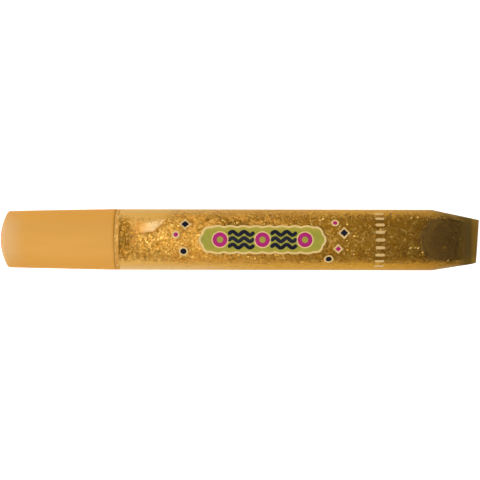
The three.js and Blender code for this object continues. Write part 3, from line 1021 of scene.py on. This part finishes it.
class Cap(bpy.types.Operator):
    """Make the tapered push-on cap with its ribs, socket and pin"""

    bl_idname = "glue_tube.cap"
    bl_label = "Cap"

    def execute(self, context):
        settings = context.scene.glue_tube.cap
        nozzle = context.scene.glue_tube.nozzle
        bm = bmesh.new()
        skin(bm, self.outside(settings) + self.inside(settings, nozzle))
        look = cap_plastic(settings.tint, CAP_HIGH.x + settings.lip_reach)
        piece("cap_body", bm, look, "cap", "cap_plastic", "cap")
        return {"FINISHED"}

    def outside(self, settings):
        """Rows from the top of the dome to the mouth's lip."""
        apex = CAP_LOW.x
        mouth = CAP_HIGH.x + settings.lip_reach
        mouth_radius = CAP_RADIUS + settings.swell
        end_radius = mouth_radius - settings.taper
        dome = dome_radius(end_radius, settings.dome_rise)
        top = arc(apex + dome, dome, 0, end_radius - settings.edge_round, DOME_STEPS)
        side = [
            (*top[-1], 0),
            (apex + settings.dome_rise, end_radius, settings.edge_round),
            (mouth, mouth_radius, settings.lip_round),
            (mouth, CAP_RADIUS - settings.wall, 0),
        ]
        return turned(top[:-1]) + turned(rounded(side))

    def inside(self, settings, nozzle):
        """Rows from the mouth's inner edge, over the ribs and the ceiling, to the tip of the pin."""
        mouth = CAP_HIGH.x
        end_radius = CAP_RADIUS - settings.taper
        dome = dome_radius(end_radius, settings.dome_rise)
        centre = CAP_LOW.x + dome
        ceiling = dome - settings.wall
        inner_end = end_radius - settings.wall
        inner_mouth = CAP_RADIUS - settings.wall
        ceiling_edge = centre - math.sqrt(ceiling**2 - inner_end**2)
        rib_start = mouth - settings.rib_setback
        rib_end = rib_start - settings.rib_length
        full = settings.rib_length - 2 * RIB_RAMP
        places = [mouth - LIP_DEPTH, rib_start]
        places += [rib_start - RIB_RAMP - full * step / RIB_STEPS for step in range(RIB_STEPS + 1)]
        places += [rib_end - SLEEVE_PITCH * step for step in range(3)]
        rows = []
        for x in places:
            points = ring(x, between(x, mouth, ceiling_edge, inner_mouth, inner_end))
            on_ribs = rib_end + RIB_RAMP / 2 < x < rib_start - RIB_RAMP / 2
            rows.append(self.ribbed(points, settings) if on_ribs else points)
        socket = self.socket(settings, nozzle)
        collar = socket[0][1]
        rows += turned(arc(centre, ceiling, inner_end, collar, CEILING_STEPS))
        return rows + turned(rounded(socket))

    def socket(self, settings, nozzle):
        """Corners from the collar of the socket over its floor to the tip of the pin."""
        tip = NOZZLE_LOW.x
        rim = tip + settings.socket_overlap
        spout_start = FRONT - nozzle.flange - nozzle.neck - nozzle.shoulder
        spout = between(rim, spout_start, tip, nozzle.spout_base, nozzle.spout_tip)
        bore = spout + settings.socket_gap
        floor = tip - settings.socket_gap
        pin_tip = tip + settings.pin_reach
        return [
            (rim, bore + settings.socket_wall, 0.15 * MM),
            (rim, bore, 0.15 * MM),
            (floor, bore, 0.15 * MM),
            (floor, settings.pin_radius, 0.15 * MM),
            (pin_tip - settings.pin_radius, settings.pin_radius, 0.1 * MM),
            (pin_tip, 0, 0),
        ]

    def ribbed(self, points, settings):
        """Ring of the sleeve's inside with its ribs standing in from it."""
        moved = []
        for step, point in enumerate(points):
            turn = (step / SEGMENTS * settings.ribs + 0.5) % 1 - 0.5
            offset = abs(turn) * 2 * math.pi * (CAP_RADIUS - settings.wall) / settings.ribs
            rise = 1 - clamped((offset / settings.rib_width - 0.5) / RIB_FLANK + 0.5)
            moved.append(point + inward(point) * settings.rib_height * rise)
        return moved


POCKET_GRAIN = 1.3 * MM  # size of the ragged forms of the pocket's edge
HALO_REACH = 1.5  # how much longer the pocket's halo is towards the nozzle
# the pressed gel's darkness is partly painted shade, begun ahead of the flats
PRESS_DEPTH = 2 * MM  # drop of the pressed gel at which it is fully dark


def pocket_inside(point, settings, reach=1.0):
    """How far a point of the gel lies inside the air pocket, stretched towards the nozzle by a reach."""
    turn = math.atan2(point.y, point.z - AXIS_HEIGHT) - settings.pocket_roll
    along = (point.x - FRONT - settings.pocket_station) / (settings.pocket_length / 2)
    side = turn * TUBE_RADIUS / (settings.pocket_width / 2) - settings.pocket_slant * along
    ragged = settings.pocket_ragged * noise.noise(point / POCKET_GRAIN)
    if along < 0:
        along /= reach
    return min(1 - along**2 - side**2 + ragged, 1)


def pocket_depth(point, settings):
    """Depth of the air pocket under a point of the gel's surface."""
    inside = pocket_inside(point, settings)
    return settings.pocket_depth * math.sqrt(inside) if inside > 0 else 0.0


class Gel(bpy.types.Operator):
    """Make the gel with its air pocket"""

    bl_idname = "glue_tube.gel"
    bl_label = "Gel"

    def execute(self, context):
        settings = context.scene.glue_tube.gel
        tube = context.scene.glue_tube.tube
        tail = Tail(tube)
        inset = tube.wall + settings.gap + settings.clear_depth
        start = NOZZLE_HIGH.x + settings.gap
        end = tail.slit(inset)
        rows = turned(rounded(self.front(context.scene.glue_tube)))
        for x in tail.stations(start, end, GEL_PITCH):
            shrunk = inset + settings.shrink * max(0, 1 - (x - start) / settings.shrink_length) ** 2
            points = tail.ring(x, shrunk)
            rows.append([point + inward(point) * pocket_depth(point, settings) for point in points])
        rows.append(pole(end))
        bm = bmesh.new()
        skin(bm, rows)
        self.note_forms(bm, tail, inset, settings)
        piece("gel_core", bm, gel_gold(), "tube", "glitter_gel", "glitter_gel")
        return {"FINISHED"}

    def front(self, whole):
        """Corners of the gel inside the nozzle, from the pin's tip to the plug's end."""
        gap = whole.gel.gap
        nozzle = whole.nozzle
        plug_bore = plug_reach(whole.tube, nozzle) - nozzle.ring_height - nozzle.plug_wall
        neck_bore = nozzle.neck_radius - nozzle.neck_wall
        neck_end = FRONT - nozzle.flange - nozzle.neck + nozzle.neck_wall
        bore_start = neck_end - nozzle.shoulder
        front = NOZZLE_LOW.x + whole.cap.pin_reach + 2 * gap
        stem = between(front, bore_start, NOZZLE_LOW.x, nozzle.bore_base, nozzle.orifice)
        return [
            (front, 0, 0),
            (front, stem - gap, 0.1 * MM),
            (bore_start, nozzle.bore_base - gap, 0.4 * MM),
            (neck_end + gap, neck_bore - gap, 0.5 * MM),
            (FRONT + gap, neck_bore - gap, 0.1 * MM),
            (FRONT + gap, plug_bore - gap, 0.1 * MM),
            (NOZZLE_HIGH.x, plug_bore - gap, 0),
        ]

    def note_forms(self, bm, tail, inset, settings):
        """Notes on each point how far it lies in the air pocket, and how deep the tail's press lies at it,
        taken from a little further along so that the painted shade of the fold starts ahead of the flats
        and bows with the wall.
        """
        pocket = bm.verts.layers.float.new("pocket")
        halo = bm.verts.layers.float.new("halo")
        pressed = bm.verts.layers.float.new("pressed")
        for vert in bm.verts:
            vert[pocket] = pocket_depth(vert.co, settings) / settings.pocket_depth
            vert[halo] = clamped(2 * pocket_inside(vert.co, settings, HALO_REACH))
            if vert.co.x > tail.flat_start - settings.fold_lead:
                reach = tail.reach(vert.co.x, inset)
                bow = reach - math.sqrt(max(reach**2 - vert.co.y**2, 0))
                level = tail.height(vert.co.x + settings.fold_lead, inset)
                drop = reach - bow * settings.fold_bow - level
                vert[pressed] = clamped(drop / PRESS_DEPTH)


FLAKE_SIDES = 6
BARE_PRESS = 0.3  # how far the tail has pressed the gel where flakes get rare
BARE_DENSITY = 0.02  # density of flakes there and in the air pocket
CLUMP_SIZE = 1.6 * MM
CLUMP_STRENGTH = 1.2
LEAST_DENSITY = 0.05  # density between the clumps
TAIL_THINNING = 0.6  # share of the flakes that is missing towards the tail
PLUG_SHARE = 0.029  # share of the tube's length, from its front, with few flakes
PLUG_DENSITY = 0.25


class Flakes(bpy.types.Operator):
    """Scatter the glitter flakes through the clear outer gel"""

    bl_idname = "glue_tube.flakes"
    bl_label = "Glitter flakes"

    def execute(self, context):
        settings = context.scene.glue_tube.gel
        lots = random.Random(settings.seed)
        core = bpy.data.objects["gel_core"].data
        pressed = core.attributes["pressed"].data
        faces = [face for face in core.polygons if face.center.x > FRONT]
        weights = []
        for face in faces:
            bare = pocket_depth(face.center, settings) > 0 or pressed[face.vertices[0]].value > BARE_PRESS
            weights.append(face.area * (BARE_DENSITY if bare else self.density(face.center)))
        look = flake_gold()
        for name, flakes, radii in (
            ("glitter_fine", settings.fine_flakes, (settings.flake_small, settings.flake_middle)),
            ("glitter_bold", settings.bold_flakes, (settings.flake_middle, settings.flake_large)),
        ):
            bm = bmesh.new()
            lot_layer = bm.faces.layers.float.new("lot")
            for face in lots.choices(faces, weights, k=flakes):
                corners = [core.vertices[index].co for index in face.vertices]
                place = corners[0].lerp(corners[1], lots.random()).lerp(corners[2], lots.random())
                place = place + face.normal * lots.uniform(0, settings.clear_depth)
                self.flake(bm, place, face.normal, lots, lot_layer, lots.uniform(*radii), settings)
            piece(name, bm, look, "tube", "glitter_gel")
        return {"FINISHED"}

    def density(self, place):
        """How densely flakes lie at a place of the gel: in clumps, and thinner towards the tail."""
        along = (place.x - FRONT) / (TAIL_END - FRONT)
        clump = max(LEAST_DENSITY, 1 + CLUMP_STRENGTH * noise.noise(place / CLUMP_SIZE))
        return clump * (1 - TAIL_THINNING * along) * (PLUG_DENSITY if along < PLUG_SHARE else 1)

    def flake(self, bm, place, normal, lots, lot_layer, radius, settings):
        """One thin hexagon, tilted at random from the gel's surface."""
        tilt = Matrix.Rotation(lots.uniform(-1, 1) * settings.flake_tilt, 3, normal.orthogonal())
        turn = Matrix.Rotation(lots.uniform(0, 2 * math.pi), 3, normal)
        up = (turn @ tilt @ normal).normalized()
        side = up.orthogonal().normalized()
        other = up.cross(side)
        lot = lots.random()
        corners = polygon(FLAKE_SIDES, radius)
        rims = []
        for level in (-0.5, 0.5):
            middle = place + up * settings.flake_thickness * level
            rim = [middle + side * first + other * second for first, second in corners]
            rims.append([bm.verts.new(point) for point in rim])
        low, high = rims
        faces = [bm.faces.new(high), bm.faces.new(low[::-1])]
        for step in range(FLAKE_SIDES):
            after = (step + 1) % FLAKE_SIDES
            faces.append(bm.faces.new((low[step], low[after], high[after], high[step])))
        for face in faces:
            face[lot_layer] = lot


UNDER, OVER, TOP = 1, 2, 3  # layers of ink, from the wall out
INK_BODY = 0.9  # share of its layer that an ink fills
LINE_SIDES = (-1, -0.33, 0.33, 1)  # points across a line of ink, in half widths
LOBE_STEPS = 12  # stretches in a lobe of the panel
PANEL_STEPS = 20  # rows of points from the panel's middle to its edge
RING_CORNERS = 48
RING_INSET = 0.02 * MM  # how far a ring's ink ends inside the ring's radius
RIM_HOLE = 0.86  # size of the hole in a ring's rim, against the rim
RIM_STEPS = 3  # rows of points from that hole to the rim's edge
RING_STEPS = 8  # rows of points from a ring's hole to its edge
WAVE_STEPS = 32  # stretches in a wave
WAVE_TURNS = 2  # crests in a wave
DOT = 24  # corners of a dot
DIAMOND = 4  # corners of a diamond
CONFETTI_STEPS = 4  # rows of points from the middle of either to its edge

# Confetti: ink, corners, place along the tube and around it from the top line, and radius, in millimetres
CONFETTI = (
    ("navy", DIAMOND, -13.2, 3.9, 0.95),
    ("magenta", DOT, -15.4, 1.2, 0.55),
    ("navy", DOT, -13.6, -2.9, 0.75),
    ("magenta", DOT, 22.9, 4.3, 0.55),
    ("navy", DIAMOND, 25.0, 1.7, 0.95),
    ("magenta", DIAMOND, 23.6, -2.2, 0.7),
    ("navy", DOT, 21.4, -5.0, 0.75),
)


def lobed(half_length, half_height, rise, lobes):
    """Outline of a long panel with round ends and lobes along its edge."""
    steps = lobes * LOBE_STEPS
    straight = 2 * (half_length - half_height)
    around = 2 * straight + 2 * math.pi * half_height
    outline = []
    for step in range(steps):
        place = (around * step / steps + straight / 2) % around
        lift = half_height + rise * abs(math.sin(math.pi * lobes * step / steps))
        side = 1 if place < around / 2 else -1
        place %= around / 2
        if place < straight:
            outline.append((side * (straight / 2 - place), side * lift))
        else:
            turn = math.pi / 2 + (place - straight) / half_height
            outline.append((side * (lift * math.cos(turn) - straight / 2), side * lift * math.sin(turn)))
    return outline


def narrowed(outline, border):
    """Outline that runs inside another at the width of a border."""
    places = [Vector(place) for place in outline]
    inner = []
    for before, here, after in zip(places[-1:] + places, places, places[1:] + places[:1]):
        inner.append(here + (after - before).normalized().orthogonal() * border)
    return inner


class Printing(bpy.types.Operator):
    """Print the panel, the confetti and the row of ticks on the wall"""

    bl_idname = "glue_tube.printing"
    bl_label = "Print"

    def execute(self, context):
        self.settings = context.scene.glue_tube.print
        self.radius = TUBE_RADIUS - context.scene.glue_tube.tube.ink_room
        self.inks = {name: bmesh.new() for name in ("cream", "olive", "magenta", "navy", "gold")}
        self.panel()
        self.rings()
        self.waves()
        self.confetti()
        self.ticks()
        for name, bm in self.inks.items():
            tint = getattr(self.settings, name)
            look = printed_ink("ink_" + name, tint, self.settings.margin if name == "olive" else tint)
            piece("print_" + name, bm, look, "tube", "tube_clear")
        return {"FINISHED"}

    def on_wall(self, place, layer):
        """Point over the wall, by its place along the tube and around it, and the ink under it."""
        x, around = place
        turn = around / self.radius
        reach = self.radius + layer * self.settings.ink
        return Vector((x, reach * math.sin(turn), AXIS_HEIGHT + reach * math.cos(turn)))

    def blot(self, ink, layer, centre, outline, steps, hole=0.0):
        """Blot of ink: an outline about its centre, with a hole in proportion where one is given."""
        x, around = centre
        sizes = [hole + (1 - hole) * step / steps for step in range(0 if hole else 1, steps + 1)]
        sides = []
        for lift in (layer + INK_BODY, layer):
            rows = [] if hole else [[self.on_wall(centre, lift)]]
            for size in sizes:
                places = [(x + first * size, around + second * size) for first, second in outline]
                rows.append([self.on_wall(place, lift) for place in places])
            sides.append(rows)
        top, bottom = sides
        skin(self.inks[ink], top + bottom[::-1], loop=bool(hole))

    def line(self, ink, layer, points, width):
        """Line of ink along points, with round ends."""
        half = width / 2
        points = [Vector(point) for point in points]
        start = (points[0] - points[1]).normalized() * half
        end = (points[-1] - points[-2]).normalized() * half
        spine = []
        for turn in QUARTER[1:-1]:
            spine.append((points[0] + start * math.cos(turn), start.orthogonal() * -math.sin(turn)))
        for before, here, after in zip(points[:1] + points, points, points[1:] + points[-1:]):
            spine.append((here, (after - before).normalized().orthogonal() * half))
        for turn in QUARTER[-2:0:-1]:
            spine.append((points[-1] + end * math.cos(turn), end.orthogonal() * math.sin(turn)))
        rows = []
        for here, across in spine:
            places = [here + across * side for side in LINE_SIDES]
            top = [self.on_wall(place, layer + INK_BODY) for place in places]
            rows.append(top + [self.on_wall(place, layer) for place in places[::-1]])
        tips = (points[0] + start, points[-1] + end)
        first, last = [[self.on_wall(tip, layer + INK_BODY / 2)] for tip in tips]
        skin(self.inks[ink], [first, *rows, last])

    def panel(self):
        """Olive panel with a scalloped cream outline."""
        settings = self.settings
        centre = (settings.middle, 0)
        outline = lobed(settings.half_length, settings.half_height, settings.scallop, settings.lobes)
        self.blot("cream", UNDER, centre, outline, PANEL_STEPS)
        self.blot("olive", OVER, centre, narrowed(outline, settings.border), PANEL_STEPS)

    def rings(self):
        """Three magenta rings with a cream rim."""
        settings = self.settings
        rim = polygon(RING_CORNERS, settings.ring_radius + settings.ring_rim)
        outline = polygon(RING_CORNERS, settings.ring_radius - RING_INSET)
        for place in (-1, 0, 1):
            centre = (settings.middle + place * settings.ring_pitch, 0)
            self.blot("cream", TOP, centre, rim, RIM_STEPS, RIM_HOLE)
            self.blot("magenta", TOP, centre, outline, RING_STEPS, settings.ring_hole)

    def waves(self):
        """Three navy waves in each space between the rings."""
        settings = self.settings
        half = settings.ring_pitch / 2 - settings.ring_radius - settings.wave_clearance
        for place in (-0.5, 0.5):
            middle = settings.middle + place * settings.ring_pitch
            for level in (-1, 0, 1):
                points = []
                for step in range(WAVE_STEPS + 1):
                    part = step / WAVE_STEPS
                    rise = settings.wave_height * math.sin(2 * math.pi * WAVE_TURNS * part)
                    points.append((middle + half * (2 * part - 1), level * settings.wave_pitch + rise))
                self.line("navy", TOP, points, settings.wave_width)

    def confetti(self):
        """Dots and diamonds with cream rims at both ends of the panel."""
        rims = {DOT: self.settings.dot_rim, DIAMOND: self.settings.diamond_rim}
        for ink, corners, x, around, radius in CONFETTI:
            centre = (x * MM, around * MM)
            rim = polygon(corners, radius * MM + rims[corners])
            self.blot("cream", UNDER, centre, rim, CONFETTI_STEPS)
            self.blot(ink, OVER, centre, polygon(corners, radius * MM), CONFETTI_STEPS)

    def ticks(self):
        """Row of ticks round the wall."""
        settings = self.settings
        span = settings.tick_span * self.radius
        reach = settings.tick_length / 2
        for tick in range(settings.ticks):
            around = span * (tick / (settings.ticks - 1) - 0.5)
            points = [(settings.tick_station + reach * side, around) for side in (-1, 0, 1)]
            self.line("gold", UNDER, points, settings.tick_width)


FLOOR_CELLS = 8  # faces along each side of the floor


class Stage(bpy.types.Operator):
    """Set up the floor, the light and the camera"""

    bl_idname = "glue_tube.stage"
    bl_label = "Stage"

    def execute(self, context):
        settings = context.scene.glue_tube.stage
        scene = context.scene
        bm = bmesh.new()
        bmesh.ops.create_grid(bm, x_segments=FLOOR_CELLS, y_segments=FLOOR_CELLS, size=settings.floor / 2)
        mesh = bpy.data.meshes.new("floor")
        bm.to_mesh(mesh)
        bm.free()
        mesh.materials.append(floor_white())
        floor = bpy.data.objects.new("floor", mesh)
        scene.collection.objects.link(floor)
        scene.view_settings.view_transform = "Standard"
        self.sky(scene, settings)
        self.lamp(scene, settings)
        self.camera(scene, settings)
        return {"FINISHED"}

    def sky(self, scene, settings):
        """Soft white sky, brighter towards the horizon."""
        look = Look(bpy.data.worlds.new("studio"), "OutputWorld", "Generated")
        strength = settings.sky + (settings.zenith - settings.sky) * look.axis("Z").above(0.5, 0.5)
        scene.world = look.show(look.node("Background", sockets={"Color": WHITE, "Strength": strength}))

    def lamp(self, scene, settings):
        """Large soft lamp, high on the cap's side."""
        data = bpy.data.lights.new("soft_lamp", "AREA")
        data.energy = settings.lamp
        data.shape = "SQUARE"
        data.size = settings.lamp_size
        made = bpy.data.objects.new("soft_lamp", data)
        made.location = (-settings.lamp_reach, 0, settings.lamp_height)
        made.rotation_euler = (-made.location).to_track_quat("-Z", "Y").to_euler()
        scene.collection.objects.link(made)

    def camera(self, scene, settings):
        """Camera straight above the tube."""
        data = bpy.data.cameras.new("camera")
        data.lens = data.sensor_width * settings.distance / settings.width
        made = bpy.data.objects.new("camera", data)
        made.location = (0, -settings.aside, AXIS_HEIGHT + settings.distance)
        made.rotation_euler = (0, 0, settings.turn)
        scene.collection.objects.link(made)
        scene.camera = made


OPERATORS = (Stage, TubeShell, Nozzle, Gel, Flakes, Cap, Printing)


class GlueTubePanel(bpy.types.Panel):
    """Lists the pieces of the glue tube"""

    bl_idname = "GLUE_TUBE_PT_pieces"
    bl_label = "Glitter glue tube"
    bl_space_type = "VIEW_3D"
    bl_region_type = "UI"
    bl_category = "Glue tube"

    def draw(self, context):
        for operator in OPERATORS:
            self.layout.operator(operator.bl_idname)


SETTINGS = (
    TubeSettings,
    NozzleSettings,
    CapSettings,
    GelSettings,
    PrintSettings,
    StageSettings,
    GlueTubeSettings,
)


def register():
    for made in (*SETTINGS, *OPERATORS, GlueTubePanel):
        bpy.utils.register_class(made)
    bpy.types.Scene.glue_tube = PointerProperty(type=GlueTubeSettings)


def unregister():
    del bpy.types.Scene.glue_tube
    for made in reversed((*SETTINGS, *OPERATORS, GlueTubePanel)):
        bpy.utils.unregister_class(made)


def main():
    register()
    bpy.ops.glue_tube.stage()
    bpy.ops.glue_tube.tube_shell()
    bpy.ops.glue_tube.nozzle()
    bpy.ops.glue_tube.gel()
    bpy.ops.glue_tube.flakes()
    bpy.ops.glue_tube.cap()
    bpy.ops.glue_tube.printing()


if __name__ == "__main__":
    main()
